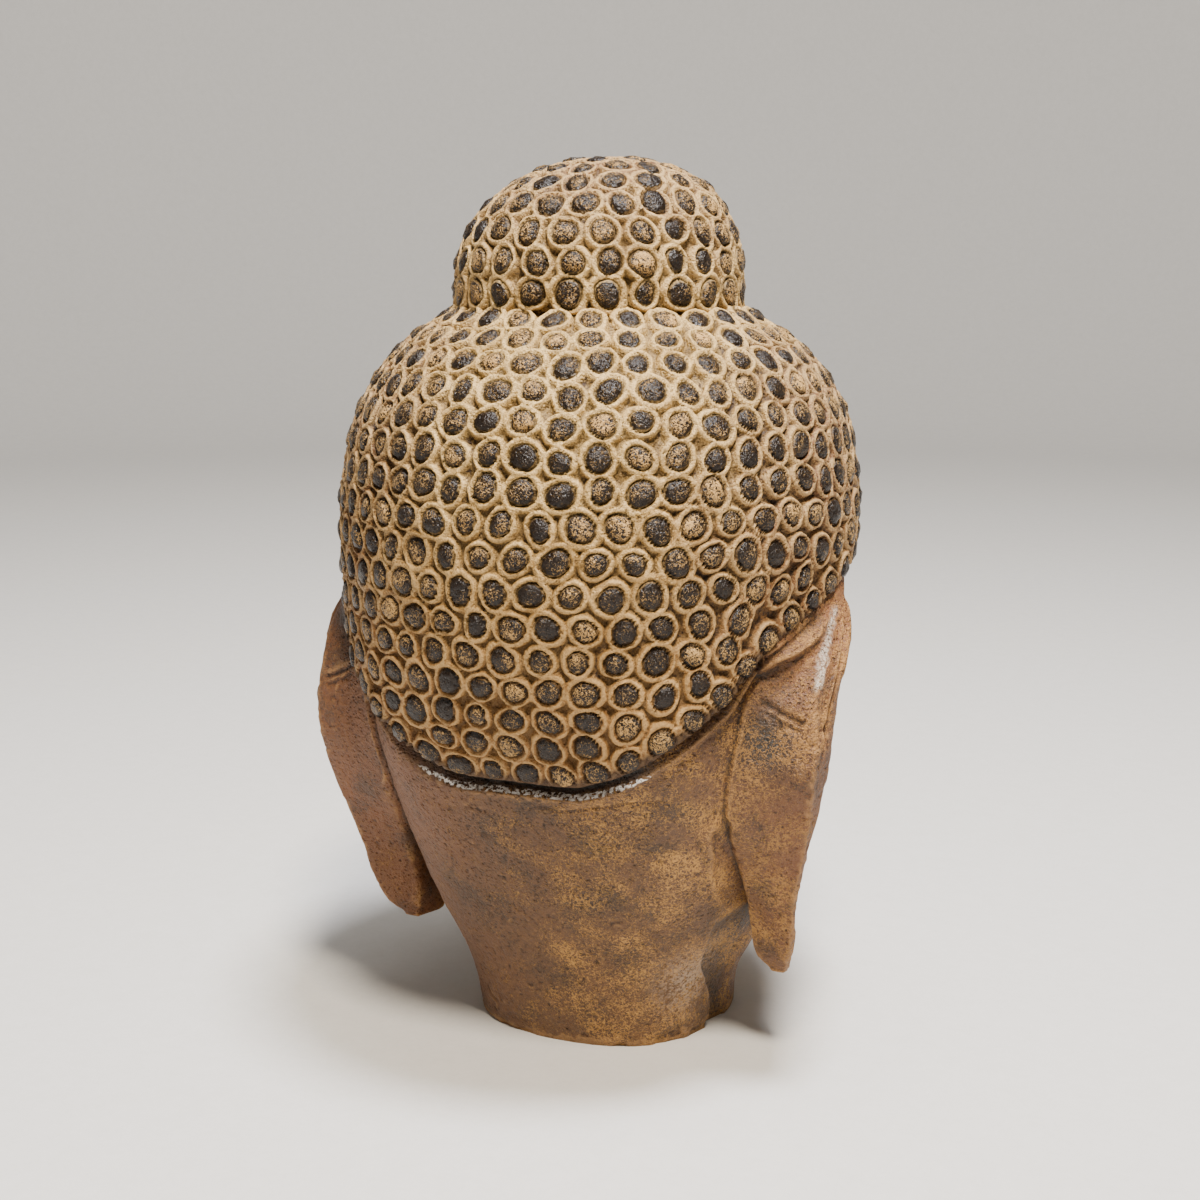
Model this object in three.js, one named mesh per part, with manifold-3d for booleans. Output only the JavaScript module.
// A stone buddha head, carved in one piece: neck, face, long ears, a cap of round curls and the
// topknot dome above it. Millimetres, +Z up, the face looks along -Y, and the origin is on the
// flat underside of the neck.

import * as THREE from "three";
import { ConvexHull } from "three/addons/math/ConvexHull.js";
import { mergeVertices } from "three/addons/utils/BufferGeometryUtils.js";
import Module from "manifold-3d";

// Driving dimensions of the whole head
const CROWN_Z = 396.5; // top of the topknot, under its curls
const CREASE_Z = 333; // where the topknot meets the cap of hair
const HAIR_THICKNESS = 7; // step from the skin out to the hair
const KNOT_TAPER_RADIUS = 50; // inside this radius the hair's thickness tapers to the crown

// Curls: round bosses set close together in rows
const CURL_PITCH = 15.4;
const CURL_RADIUS = 5.9;
const CURL_HEIGHT = 2.4;
const CURL_SIDES = 5;
const VALLEY_DEPTH = 0.9;
const ROW_PITCH = CURL_PITCH * Math.sin(Math.PI / 3);

// Head sections from the underside up to the crease: height, half width, how far the surface lies
// behind and in front of the head's axis, where along Y it is widest, how square its back is
// (2 is an ellipse) and how far it leans to the left ear.
const SECTIONS = [
  { z: 0, side: 60.5, back: 40, front: -80, middle: -21, box: 2.4, lean: 2.5 },
  { z: 20, side: 62.5, back: 46, front: -78, middle: -21, box: 2.4, lean: 2.5 },
  { z: 38, side: 69, back: 51.5, front: -81, middle: -20, box: 2.4, lean: 2 },
  { z: 56, side: 77, back: 57.5, front: -95, middle: -18, box: 2.5, lean: 1.5 },
  { z: 75, side: 82.5, back: 64, front: -101, middle: -15, box: 2.8, lean: 0.5 },
  { z: 100, side: 87.5, back: 72.5, front: -103, middle: -10, box: 3.1, lean: 0 },
  { z: 130, side: 92.5, back: 82.5, front: -104, middle: -6, box: 3.3, lean: 0 },
  { z: 150, side: 96.5, back: 91.5, front: -104, middle: -4, box: 3, lean: 0 },
  { z: 170, side: 101, back: 101, front: -104, middle: -1, box: 2.4, lean: 0 },
  { z: 190, side: 105, back: 107, front: -104, middle: 0, box: 2.1, lean: 0 },
  { z: 215, side: 106.5, back: 111, front: -105.5, middle: 0, box: 2, lean: 0 },
  { z: 242, side: 107.5, back: 111.5, front: -107, middle: 0, box: 2, lean: -0.5 },
  { z: 265, side: 105.5, back: 109, front: -106, middle: 0, box: 2, lean: -0.8 },
  { z: 288, side: 100, back: 103, front: -100, middle: 0, box: 2, lean: -1 },
  { z: 306, side: 90, back: 92.5, front: -90.5, middle: 0, box: 2, lean: -1.2 },
  { z: 316, side: 81, back: 83, front: -81.5, middle: 0, box: 2, lean: -1.2 },
  { z: 324, side: 70.5, back: 72, front: -71, middle: 0, box: 2, lean: -1.2 },
  { z: 330, side: 59, back: 60, front: -59.5, middle: 0, box: 2, lean: -1.2 },
];
const SECTION_STEPS = 8; // levels between two sections

// The topknot: a low drum that turns over into a dome, a superellipse in profile
const KNOT_RADIUS = 55;
const KNOT_SHOULDER_Z = 343;
const KNOT_ROUNDING = 2.2;
const KNOT_LEAN = -5; // how far its crown leans to the right ear
const KNOT_STEPS = 26;

// Hairline height by degrees round from the nape (0) to the middle of the forehead (180)
const HAIRLINE = [
  { turn: 0, z: 138 },
  { turn: 15, z: 139 },
  { turn: 26, z: 147 },
  { turn: 40, z: 164.5 },
  { turn: 49, z: 177 },
  { turn: 57, z: 193 },
  { turn: 70, z: 205 },
  { turn: 86, z: 216 },
  { turn: 105, z: 231 },
  { turn: 125, z: 255 },
  { turn: 150, z: 274 },
  { turn: 180, z: 276 },
];
const LEDGE_STEP = 1.2; // half the height over which the hair steps out
const HAIRLINE_SPACING = 8.5;

// Under the hair at the back runs a groove, and under that a raised lip, both behind the ears
const GROOVE = { drop: 2.6, width: 2.4, depth: 2.6 };
const LIP = { drop: 7.5, width: 3, height: 1.8 };
const NAPE_HALF_TURN = 78;
const GROOVE_RIGHT_END = -24; // the groove closes here, in degrees toward the right ear

// A hollow face hewn on the right of the neck, under the ear, in degrees round from the nape
const SIDE_CUT = { corner: -53.5, front: -94, top: 74, depth: 4.6 };

// Face: thirds from the chin to the hairline, and a width of five eyes
const CHIN_Z = 52;
const FACE_THIRD = 75;
const NOSE_BASE_Z = CHIN_Z + FACE_THIRD;
const BROW_Z = NOSE_BASE_Z + FACE_THIRD;
const MOUTH_Z = NOSE_BASE_Z - FACE_THIRD * 0.38;
const EYE_Z = BROW_Z - 23;
const EYE_X = 35;
const EYE_HALF_WIDTH = 20;
const NOSE_LENGTH = BROW_Z - 4 - NOSE_BASE_Z;
const NOSE_HEIGHT = 24.5;
const MOUTH_HALF_WIDTH = 23;

// Ears, given for the one at +X: height, rim, the edge behind it, the corner against the neck, a
// corner inside the head and the root in front
const EAR_STATIONS = [
  { z: 219, rim: [112, 4], edge: [111, 9], back: [106, 18], inner: [96, 12], root: [106, -4] },
  { z: 212, rim: [117, 9], edge: [115.5, 17], back: [106, 36], inner: [86, 22], root: [106, -8] },
  { z: 202, rim: [121.5, 17], edge: [116, 29], back: [101, 55], inner: [76, 30], root: [104.5, -10] },
  { z: 190, rim: [123.5, 28], edge: [117, 42.5], back: [95.5, 66], inner: [70, 36], root: [102.5, -11] },
  { z: 176, rim: [121.5, 34], edge: [116.5, 52.5], back: [90, 68], inner: [64, 36], root: [100, -12] },
  { z: 160, rim: [119.5, 39], edge: [117, 55], back: [87.5, 66], inner: [62, 36], root: [97, -12] },
  { z: 144, rim: [118, 42], edge: [115.5, 56], back: [84.5, 63.5], inner: [62, 34], root: [94.5, -12.5] },
  { z: 128, rim: [115, 44], edge: [113, 52.5], back: [82, 60], inner: [62, 30], root: [91.5, -13] },
  { z: 112, rim: [111, 44.5], edge: [110.3, 48], back: [81, 54], inner: [64, 26], root: [89, -13] },
  { z: 96, rim: [108.8, 41], edge: [107.5, 43.5], back: [82, 44.5], inner: [70, 22], root: [87, -13.5] },
  { z: 80, rim: [106, 36.5], edge: [105, 38.5], back: [82.5, 35], inner: [77, 14], root: [85.5, -13] },
  { z: 64, rim: [103.8, 31], edge: [102.8, 33], back: [82.5, 28], inner: [81, 8], root: [85, -11] },
  { z: 50, rim: [100.5, 23.5], edge: [99.8, 25.5], back: [84, 23.5], inner: [82, 4], root: [85.5, -7] },
  { z: 41, rim: [97, 15], edge: [96, 17], back: [89, 17], inner: [84, 4], root: [87, -2] },
];
// Relief of the ear's outer side: share of the way from root to rim, and height
const EAR_RELIEF = [
  { share: 0.1, rise: 0.8 },
  { share: 0.3, rise: -4.5 },
  { share: 0.52, rise: -0.5 },
  { share: 0.74, rise: -3.5 },
  { share: 0.9, rise: 0.3 },
];
const EAR_RELIEF_TOP_Z = 216;
const EAR_RELIEF_FADE = 20;
const LOBE_Z = 92; // under this height the ear is a plain lobe

const BACK_TURN = Math.PI / 2; // the azimuth, from +X, of the back of the head
const STONE = { color: 0x8a6a44, roughness: 0.82, metalness: 0 };

const clamp01 = (v) => Math.min(1, Math.max(0, v));
const smooth = (v) => clamp01(v) ** 2 * (3 - 2 * clamp01(v));
const bell = (distance, width) => Math.exp(-((distance / width) ** 2));
const noise = (seed) => {
  const value = Math.sin(seed * 12.9898 + 4.1414) * 43758.5453;
  return value - Math.floor(value);
};

// A smooth curve through table rows, read at a key such as a height; every other column is a value.
function curveThrough(rows, key) {
  const columns = Object.keys(rows[0]).filter((name) => name !== key);
  const slopeAt = (i, name) => {
    const before = rows[Math.max(i - 1, 0)];
    const after = rows[Math.min(i + 1, rows.length - 1)];
    return (after[name] - before[name]) / (after[key] - before[key]);
  };
  return (at) => {
    let i = rows.findIndex((row) => row[key] > at) - 1;
    if (i < 0) i = at < rows[0][key] ? 0 : rows.length - 2;
    const width = rows[i + 1][key] - rows[i][key];
    const t = clamp01((at - rows[i][key]) / width);
    const found = { [key]: at };
    for (const name of columns) {
      const [p, q] = [rows[i][name], rows[i + 1][name]];
      const [m, n] = [slopeAt(i, name) * width, slopeAt(i + 1, name) * width];
      found[name] =
        p * (2 * t ** 3 - 3 * t ** 2 + 1) +
        m * (t ** 3 - 2 * t ** 2 + t) +
        q * (3 * t ** 2 - 2 * t ** 3) +
        n * (t ** 3 - t ** 2);
    }
    return found;
  };
}

// The head's levels from the underside to the crown. Each level also gets its "rise", the climb
// divided by the radius and summed, so that a turn and a rise of one size cover equal lengths, and
// its "length", the climb itself summed.
function headLevels() {
  const sectionAt = curveThrough(SECTIONS, "z");
  const levels = [];
  for (let i = 0; i < SECTIONS.length - 1; i++)
    for (let k = 0; k < SECTION_STEPS; k++)
      levels.push(sectionAt(THREE.MathUtils.lerp(SECTIONS[i].z, SECTIONS[i + 1].z, k / SECTION_STEPS)));
  const knotLevel = (z, radius) => ({
    z,
    side: radius,
    back: radius * 1.03,
    front: -radius,
    middle: 0,
    box: 2,
    lean: KNOT_LEAN * smooth((z - KNOT_SHOULDER_Z) / (CROWN_Z - KNOT_SHOULDER_Z)) ** 2,
  });
  levels.push(sectionAt(SECTIONS.at(-1).z));
  levels.push(knotLevel(CREASE_Z, KNOT_RADIUS * 0.965));
  for (let k = 0; k < KNOT_STEPS; k++) {
    const angle = (Math.PI / 2) * (k / (KNOT_STEPS - 0.9));
    const radius = KNOT_RADIUS * Math.cos(angle) ** (2 / KNOT_ROUNDING);
    const climb = (CROWN_Z - KNOT_SHOULDER_Z) * Math.sin(angle) ** (2 / KNOT_ROUNDING);
    levels.push(knotLevel(KNOT_SHOULDER_Z + climb, radius));
  }
  levels[0].rise = 0;
  levels[0].length = 0;
  for (let i = 1; i < levels.length; i++) {
    const [low, high] = [levels[i - 1], levels[i]];
    const climb = Math.hypot(high.z - low.z, high.side - low.side);
    high.rise = low.rise + (2 * climb) / (high.side + low.side);
    high.length = low.length + climb;
  }
  return levels;
}

const LEVELS = headLevels();
const WIDEST_RISE = LEVELS.reduce((a, b) => (b.side > a.side ? b : a)).rise;
const TOP = LEVELS.at(-1);

// The level at a given rise, or at a given value of another of its names, such as z
function levelAt(value, name = "rise") {
  const found = LEVELS.findIndex((level) => level[name] > value);
  const i = found < 0 ? LEVELS.length - 2 : Math.max(found - 1, 0);
  const share = (value - LEVELS[i][name]) / (LEVELS[i + 1][name] - LEVELS[i][name]);
  const level = {};
  for (const key of Object.keys(TOP))
    level[key] = THREE.MathUtils.lerp(LEVELS[i][key], LEVELS[i + 1][key], share);
  return level;
}
const riseAtHeight = (z) => levelAt(z, "z").rise;

// Degrees round from the back of the head, positive toward the left ear
const fromBack = (turn) =>
  THREE.MathUtils.radToDeg(Math.atan2(Math.sin(BACK_TURN - turn), Math.cos(BACK_TURN - turn)));
const hairlineCurve = curveThrough(HAIRLINE, "turn");
const hairlineZ = (turn) => hairlineCurve(Math.abs(fromBack(turn))).z;

// Relief of the face, as how far it stands forward at a place seen from the front.
function faceRelief(x, z) {
  const across = Math.abs(x);
  const down = clamp01((BROW_Z - 4 - z) / NOSE_LENGTH); // 0 at the nose's root, 1 at its base
  const noseWidth = THREE.MathUtils.lerp(8, 12, down ** 2);
  const noseEnd = smooth((z - NOSE_BASE_Z + 2) / 8) * smooth((BROW_Z + 14 - z) / 22);
  const bridge = THREE.MathUtils.lerp(6, NOSE_HEIGHT, down ** 1.3) * bell(across, noseWidth) * noseEnd;
  const nostril = 8 * bell(Math.hypot(across - 13, z - NOSE_BASE_Z - 7), 7);
  const browArch = BROW_Z + 8 * Math.sin(Math.PI * clamp01((across - 4) / 62)) - 3 * bell(across, 8);
  const brow = 3.4 * bell(z - browArch, 5) * smooth((70 - across) / 18);
  const socket = -6.5 * bell(across - EYE_X + 2, 24) * bell(z - EYE_Z - 6, 13);
  const eyeSpan = clamp01(1 - ((across - EYE_X) / EYE_HALF_WIDTH) ** 2);
  const lidLine = EYE_Z - 3 - 4 * eyeSpan;
  const upperLid = 8 * Math.sqrt(eyeSpan) * bell(z - EYE_Z - 1, 9) * smooth((z - lidLine + 2) / 3.5);
  const lowerLid = 4 * Math.sqrt(eyeSpan) * bell(z - lidLine + 4.5, 4.5);
  const mouthSpan = clamp01(1 - (across / MOUTH_HALF_WIDTH) ** 2);
  const mouthLine = MOUTH_Z + 2.6 * (1 - mouthSpan);
  const upperLip = 6.5 * mouthSpan ** 0.6 * bell(z - mouthLine - 4.4, 4) * (1 - 0.2 * bell(across, 4));
  const lowerLip = 7.5 * mouthSpan ** 0.8 * bell(z - mouthLine + 5.4, 4.8);
  const mouthMound = 4 * bell(across, 34) * bell(z - MOUTH_Z, 20);
  const chin = 7 * bell(across, 21) * bell(z - CHIN_Z - 13, 12);
  const cheek = 5 * bell(across - 46, 25) * bell(z - NOSE_BASE_Z - 16, 30);
  const mark = 2.2 * bell(Math.hypot(across, z - BROW_Z - 20), 5);
  const eyes = socket + upperLid + lowerLid;
  const mouth = upperLip + lowerLip + mouthMound;
  return bridge + nostril + brow + eyes + mouth + chin + cheek + mark;
}

// How much of the hair's thickness is there: 0 on skin, 1 on hair
const hairShare = (turn, z) => smooth((z - hairlineZ(turn) + LEDGE_STEP) / (2 * LEDGE_STEP));

// Relief of the skin just under the hair: the groove, open at the nape and on the left, and the lip
function napeRelief(turn, z) {
  const degrees = fromBack(turn);
  const drop = hairlineZ(turn) - z;
  const behindEars = smooth((NAPE_HALF_TURN - Math.abs(degrees)) / 15);
  const open = smooth((degrees - GROOVE_RIGHT_END) / 12);
  const groove = GROOVE.depth * bell(drop - GROOVE.drop, GROOVE.width) * open;
  const lip = LIP.height * bell(drop - LIP.drop, LIP.width);
  return (lip - groove) * behindEars;
}

// Depth of the hollow face under the right ear; its rear corner swings forward lower down
function sideCut(turn, z) {
  const degrees = fromBack(turn);
  const corner = SIDE_CUT.corner - 14 * smooth((44 - z) / 34);
  const span = smooth((corner - degrees) / 6) * smooth((degrees - SIDE_CUT.front) / 26);
  return SIDE_CUT.depth * span * smooth((SIDE_CUT.top - z) / 18);
}

// A point of the head at a turn round the axis and a rise up it, before curls are raised on it
function headPoint(turn, rise) {
  const { z, side, back, front, middle, box, lean } = levelAt(rise);
  const hair = hairShare(turn, z);
  const [across, along] = [Math.cos(turn), Math.sin(turn)];
  const [depth, power] = along > 0 ? [back - middle, box] : [middle - front, 2];
  const reach = (Math.abs(across / side) ** power + Math.abs(along / depth) ** power) ** (-1 / power);
  const thickness = HAIR_THICKNESS * hair * Math.min(1, side / KNOT_TAPER_RADIUS);
  const radius = reach + thickness + (1 - hair) * napeRelief(turn, z) - sideCut(turn, z);
  const point = new THREE.Vector3(lean + radius * across, middle + radius * along, z);
  if (along < 0) point.y -= faceRelief(point.x, z) * (1 - hair) * smooth(-along * 2.2);
  return point;
}

// Unit steps on the surface for a small change of turn and of rise, and the outward normal
function surfaceFrame(turn, rise) {
  const step = 0.01;
  const high = Math.min(rise + step, TOP.rise);
  const alongTurn = headPoint(turn + step, rise).sub(headPoint(turn - step, rise)).divideScalar(2 * step);
  const alongRise = headPoint(turn, high).sub(headPoint(turn, high - 2 * step)).divideScalar(2 * step);
  const normal = alongTurn.clone().cross(alongRise).normalize();
  return { alongTurn, alongRise, normal };
}

function raised(turn, rise, height) {
  const { normal } = surfaceFrame(turn, rise);
  return headPoint(turn, rise).addScaledVector(normal, height);
}

// Places spaced evenly round the head on a line given as rise by turn
function evenRow(riseOf, pitch, phase) {
  const samples = 720;
  const turns = Array.from({ length: samples + 1 }, (_, i) => (2 * Math.PI * i) / samples);
  const points = turns.map((turn) => headPoint(turn, riseOf(turn)));
  const lengths = [0];
  for (let i = 1; i <= samples; i++) lengths.push(lengths[i - 1] + points[i].distanceTo(points[i - 1]));
  const count = Math.max(1, Math.round(lengths[samples] / pitch));
  return Array.from({ length: count }, (_, k) => {
    const wanted = ((k + phase) / count) * lengths[samples];
    const i = Math.min(samples, Math.max(1, lengths.findIndex((length) => length >= wanted)));
    const share = (wanted - lengths[i - 1]) / (lengths[i] - lengths[i - 1]);
    const turn = THREE.MathUtils.lerp(turns[i - 1], turns[i], share);
    return { turn, rise: riseOf(turn) };
  });
}

// Curls: fixed rows along the hairline and on both sides of the crease, rows between them up to the
// crown, and then every free curl eases away from its neighbours, as a carver spaces them by eye.
function curlPlaces() {
  const hairlineRise = (turn) => riseAtHeight(hairlineZ(turn) + CURL_PITCH * 0.54);
  const crease = levelAt(CREASE_Z, "z").length;
  const underCrease = levelAt(crease - CURL_PITCH * 0.62, "length").rise;
  const overCrease = levelAt(crease + CURL_PITCH * 0.58, "length").rise;
  const fixed = [
    ...evenRow(hairlineRise, CURL_PITCH, 0.2),
    ...evenRow(() => underCrease, CURL_PITCH, 0.4),
    ...evenRow(() => overCrease, CURL_PITCH, 0),
  ];
  const free = [];
  const addRows = (fromLength, toLength, step) => {
    const rows = Math.floor((toLength - fromLength) / step);
    for (let row = 0; row <= rows; row++) {
      const { rise } = levelAt(fromLength + row * step, "length");
      free.push(...evenRow(() => rise, CURL_PITCH, (row % 2) / 2));
    }
  };
  addRows(crease - CURL_PITCH * 0.62 - ROW_PITCH, levelAt(HAIRLINE[0].z, "z").length, -ROW_PITCH);
  const knotLength = TOP.length - crease - CURL_PITCH * 0.58;
  const knotStep = knotLength / Math.round(knotLength / ROW_PITCH);
  addRows(TOP.length - knotLength + knotStep, TOP.length, knotStep * 0.999);
  const places = fixed.map((place) => ({ ...place, fixed: true, at: headPoint(place.turn, place.rise) }));
  for (const place of free) {
    const at = headPoint(place.turn, place.rise);
    const above = at.z > hairlineZ(place.turn) + CURL_PITCH * 0.6;
    const clear = places.every((other) => other.at.distanceTo(at) > CURL_PITCH * 0.72);
    if (above && clear) places.push({ ...place, fixed: false, at });
  }
  for (const [i, place] of places.entries()) {
    if (place.fixed) continue;
    const scatter = 5.2 / Math.max(levelAt(place.rise).side, CURL_PITCH);
    place.turn += (noise(i) - 0.5) * scatter;
    place.rise += (noise(i + 0.5) - 0.5) * scatter;
  }
  easeApart(places);
  return places;
}

function easeApart(places) {
  const rounds = 4;
  for (let round = 0; round < rounds; round++) {
    for (const place of places) place.at = headPoint(place.turn, place.rise);
    for (const place of places.filter((p) => !p.fixed)) {
      const push = new THREE.Vector3();
      for (const other of places) {
        const gap = place.at.distanceTo(other.at);
        if (gap === 0 || gap > CURL_PITCH * 1.25) continue;
        push.addScaledVector(place.at.clone().sub(other.at), (CURL_PITCH * 1.25 - gap) / (gap * 4));
      }
      const { alongTurn, alongRise } = surfaceFrame(place.turn, place.rise);
      place.turn += push.dot(alongTurn) / alongTurn.lengthSq();
      place.rise = Math.min(place.rise + push.dot(alongRise) / alongRise.lengthSq(), TOP.rise);
    }
  }
}

// Plain points on the skin: the neck, the hair's edge with its groove and lip, and the face
function skinPlaces() {
  const places = [];
  const belowHair = (place, margin) => levelAt(place.rise).z < hairlineZ(place.turn) - margin;
  const atFace = (place) => Math.sin(place.turn) < -0.45;
  const addRow = (riseOf, pitch, phase, keep) => places.push(...evenRow(riseOf, pitch, phase).filter(keep));
  addRow(() => 0, 14, 0, () => true);
  [14, 30, 48, 66, 84, 104, 124, 144, 164, 184, 204, 222].forEach((z, row) =>
    addRow(() => riseAtHeight(z), 18, (row % 2) / 2, (place) => belowHair(place, 14) && !atFace(place)),
  );
  const edge = (drop) => (turn) => riseAtHeight(hairlineZ(turn) - drop);
  const atNape = (place) => Math.abs(fromBack(place.turn)) < NAPE_HALF_TURN;
  addRow(edge(-LEDGE_STEP), HAIRLINE_SPACING, 0, () => true);
  addRow(edge(LEDGE_STEP + 0.6), HAIRLINE_SPACING, 0.5, () => true);
  addRow(edge(LIP.drop), HAIRLINE_SPACING, 0, atNape);
  const detailed = (z) => z > CHIN_Z - 6 && z < BROW_Z + 16;
  for (let z = 8, row = 0; z < HAIRLINE.at(-1).z; z += detailed(z) ? 5 : 12, row++) {
    const { rise, side } = levelAt(z, "z");
    for (let x = -96 + (row % 2) * 3; x <= 96; x += 6) {
      const plain = Math.abs(x) > 60 || !detailed(z);
      if (plain && (row % 2 === 1 || Math.round(x / 6) % 2 !== 0)) continue;
      const place = { turn: -Math.acos(THREE.MathUtils.clamp(x / side, -1, 1)), rise };
      if (atFace(place) && belowHair(place, 7)) places.push(place);
    }
  }
  return places;
}

// The turn and rise laid out on a unit ball, where the convex hull joins neighbours
function onBall({ turn, rise }) {
  const up = rise - WIDEST_RISE;
  return new THREE.Vector3(Math.cos(turn) / Math.cosh(up), Math.sin(turn) / Math.cosh(up), Math.tanh(up));
}

// Triangles between neighbouring points of the ball. Each point is first nudged round it by a hair,
// because four points in one plane could be joined in two ways.
function joinNeighbours(points) {
  const nudged = points.map((point, i) =>
    point.clone().applyAxisAngle(new THREE.Vector3(0, 0, 1), (noise(i + 0.25) - 0.5) * 0.004),
  );
  const indexOf = new Map(nudged.map((point, i) => [point, i]));
  return new ConvexHull().setFromPoints(nudged).faces.map((face) => {
    const corners = [];
    let edge = face.edge;
    do {
      corners.push(indexOf.get(edge.head().point));
      edge = edge.next;
    } while (edge !== face.edge);
    return corners;
  });
}

// Joins an inner loop to an outer loop of another count by walking both round by angle.
function zipLoops(outer, inner) {
  const triangles = [];
  let [i, k] = [0, 0];
  while (i < outer.length || k < inner.length) {
    const [o, n] = [outer[i % outer.length], inner[k % inner.length]];
    const [nextOuter, nextInner] = [outer[(i + 1) % outer.length], inner[(k + 1) % inner.length]];
    const turnsOuter = nextOuter.angle + 2 * Math.PI * Math.floor((i + 1) / outer.length);
    const turnsInner = nextInner.angle + 2 * Math.PI * Math.floor((k + 1) / inner.length);
    if (k >= inner.length || (i < outer.length && turnsOuter < turnsInner)) {
      triangles.push([o.index, nextOuter.index, n.index]);
      i++;
    } else {
      triangles.push([o.index, nextInner.index, n.index]);
      k++;
    }
  }
  return triangles;
}

// The head without its ears. Neighbouring curls share valley corners, one in the middle of each
// triangle between their centres, and each curl is an inset ring raised inside its own valley.
function headGeometry() {
  const curls = curlPlaces();
  const places = [...curls, ...skinPlaces()];
  const balls = [...places.map(onBall), new THREE.Vector3(0, 0, -1)];
  const isCurl = (i) => i < curls.length;
  const positions = places.map(({ turn, rise }) => headPoint(turn, rise));
  positions.push(new THREE.Vector3(0, SECTIONS[0].middle, 0)); // the middle of the underside

  const triangles = [];
  const valleyOfEdge = new Map(); // directed edge to the valley corner of the triangle on its left
  for (const corners of joinNeighbours(balls)) {
    if (!corners.some(isCurl)) {
      triangles.push(corners);
      continue;
    }
    const middle = corners.reduce((sum, i) => sum.add(balls[i]), new THREE.Vector3()).normalize();
    const turn = Math.atan2(middle.y, middle.x);
    const rise = Math.min(TOP.rise, WIDEST_RISE + Math.atanh(middle.z));
    positions.push(raised(turn, rise, corners.every(isCurl) ? -VALLEY_DEPTH : 0));
    corners.forEach((from, k) => valleyOfEdge.set(`${from}>${corners[(k + 1) % 3]}`, positions.length - 1));
  }
  for (const [edge, valley] of valleyOfEdge) {
    const [from, to] = edge.split(">").map(Number);
    const across = valleyOfEdge.get(`${to}>${from}`);
    if (across === undefined) triangles.push([from, to, valley]);
    else if (!isCurl(from)) triangles.push([from, across, valley]);
  }

  const valleysByCurl = new Map(curls.map((_, i) => [i, new Set()]));
  for (const [edge, valley] of valleyOfEdge) valleysByCurl.get(Number(edge.split(">")[0]))?.add(valley);
  curls.forEach((curl, i) => {
    const { alongTurn, alongRise, normal } = surfaceFrame(curl.turn, curl.rise);
    const [right, up] = [alongTurn.clone().normalize(), alongRise.clone().normalize()];
    const angleOf = (point) => {
      const away = point.clone().sub(positions[i]);
      return Math.atan2(away.dot(up), away.dot(right));
    };
    const valleys = [...valleysByCurl.get(i)]
      .map((index) => ({ index, angle: angleOf(positions[index]) }))
      .sort((a, b) => a.angle - b.angle);
    const top = Array.from({ length: CURL_SIDES }, (_, k) => {
      const angle = valleys[0].angle + (2 * Math.PI * k) / CURL_SIDES;
      const point = positions[i]
        .clone()
        .addScaledVector(right, CURL_RADIUS * Math.cos(angle))
        .addScaledVector(up, CURL_RADIUS * Math.sin(angle))
        .addScaledVector(normal, CURL_HEIGHT);
      return { index: positions.push(point) - 1, angle };
    });
    triangles.push(...zipLoops(valleys, top));
    for (let k = 1; k < CURL_SIDES - 1; k++) triangles.push([top[0].index, top[k].index, top[k + 1].index]);
  });
  return new THREE.BufferGeometry()
    .setAttribute("position", new THREE.Float32BufferAttribute(positions.flatMap((p) => p.toArray()), 3))
    .setIndex(triangles.flat());
}

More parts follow.
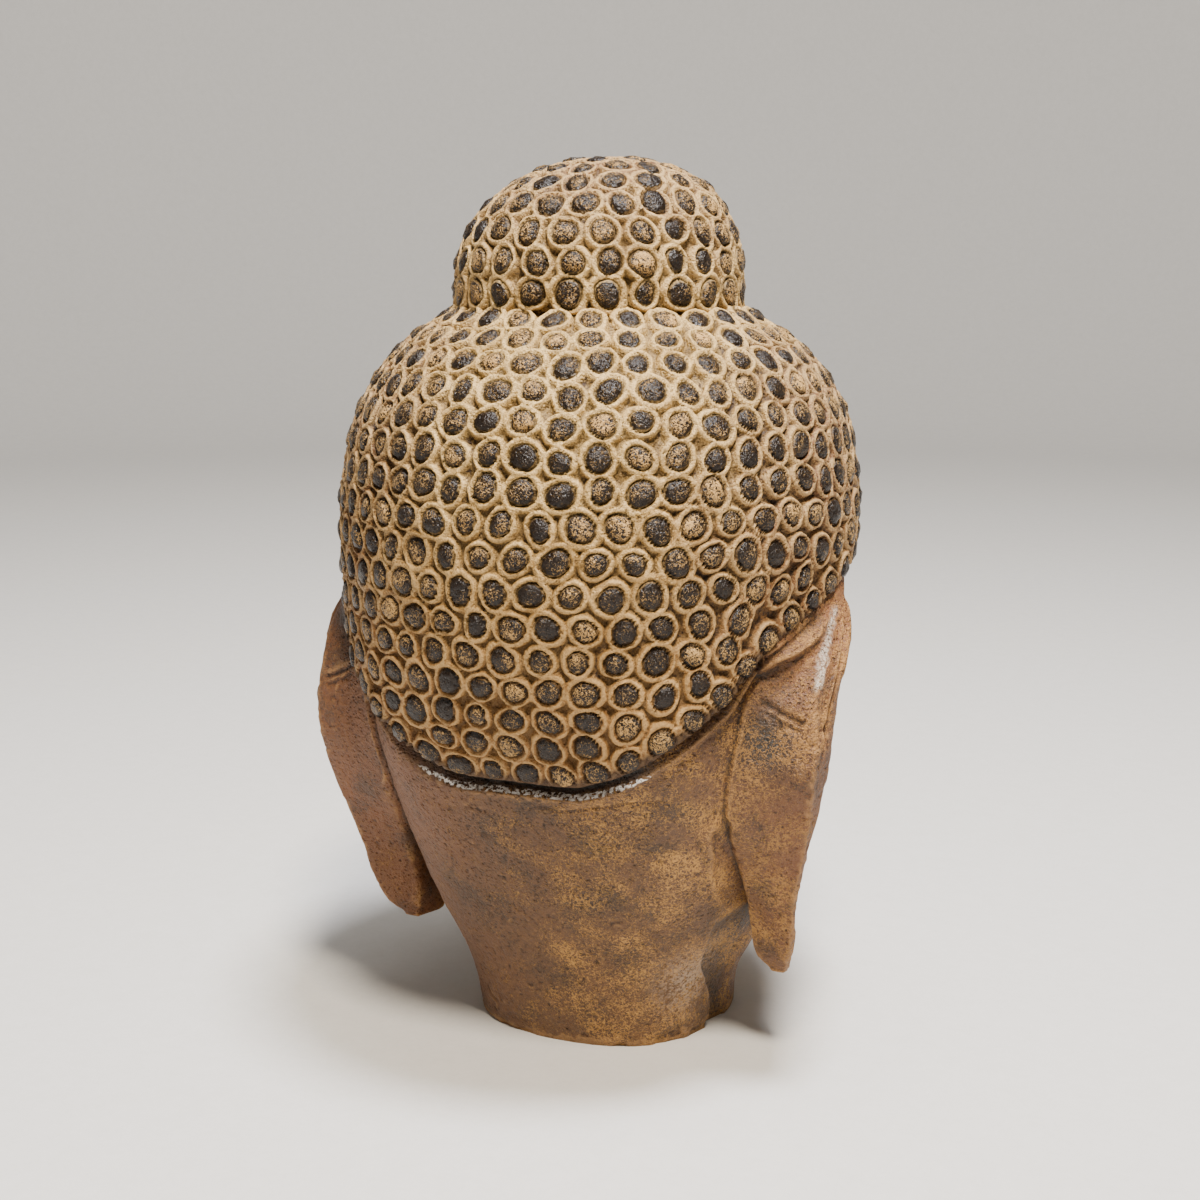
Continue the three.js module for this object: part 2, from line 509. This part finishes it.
// One section of the ear at +X as a closed loop of points, seen from above
function earSection({ z, ...corners }) {
  const [rim, edge, back, inner, root] = ["rim", "edge", "back", "inner", "root"].map(
    (name) => new THREE.Vector2(...corners[name]),
  );
  const outward = new THREE.Vector2(rim.y - root.y, root.x - rim.x).normalize();
  const fade = smooth((EAR_RELIEF_TOP_Z - z) / EAR_RELIEF_FADE) * smooth((z - LOBE_Z) / 30);
  const carved = EAR_RELIEF.map(({ share, rise }) =>
    root.clone().lerp(rim, share).addScaledVector(outward, rise * fade),
  );
  const buriedRoot = root.clone().addScaledVector(outward, -6);
  const loop = [buriedRoot, ...carved, rim, edge, back, inner];
  return loop.map((corner) => new THREE.Vector3(corner.x, corner.y, z));
}

function earGeometry() {
  const sections = EAR_STATIONS.map(earSection);
  const count = sections[0].length;
  const ends = [sections[0], sections.at(-1)].map((section, i) => {
    const middle = section.reduce((sum, p) => sum.add(p), new THREE.Vector3()).divideScalar(count);
    return middle.setZ(middle.z + (i === 0 ? 2 : -3));
  });
  const positions = [...sections.flat(), ...ends];
  const [top, tip] = [positions.length - 2, positions.length - 1];
  const triangles = [];
  for (let k = 0; k < count; k++) {
    const next = (k + 1) % count;
    triangles.push([top, k, next]);
    for (let s = 0; s < sections.length - 1; s++) {
      const [a, b] = [s * count, (s + 1) * count];
      triangles.push([a + k, b + k, b + next], [a + k, b + next, a + next]);
    }
    const last = (sections.length - 1) * count;
    triangles.push([tip, last + next, last + k]);
  }
  return new THREE.BufferGeometry()
    .setAttribute("position", new THREE.Float32BufferAttribute(positions.flatMap((p) => p.toArray()), 3))
    .setIndex(triangles.flat());
}

const wasm = await Module();
wasm.setup();

function solidOf(geometry) {
  const merged = mergeVertices(geometry, 1e-3);
  return new wasm.Manifold(
    new wasm.Mesh({
      numProp: 3,
      vertProperties: merged.attributes.position.array,
      triVerts: new Uint32Array(merged.index.array),
    }),
  );
}

function geometryOf(solid) {
  const { vertProperties, triVerts } = solid.getMesh();
  return new THREE.BufferGeometry()
    .setAttribute("position", new THREE.BufferAttribute(vertProperties, 3))
    .setIndex(new THREE.BufferAttribute(triVerts, 1))
    .toNonIndexed();
}

function buddhaHead() {
  const ear = solidOf(earGeometry());
  const joined = solidOf(headGeometry()).add(ear).add(ear.mirror([1, 0, 0]));
  // Joining can leave a sliver of empty space inside; only the outer skin is kept.
  const [solid] = joined.decompose().sort((a, b) => b.volume() - a.volume());
  const geometry = geometryOf(solid);
  geometry.computeVertexNormals();
  const mesh = new THREE.Mesh(geometry, new THREE.MeshStandardMaterial({ ...STONE, flatShading: true }));
  mesh.name = "buddha_head";
  return mesh;
}

const statue = new THREE.Group();
statue.add(buddhaHead());

export default statue;
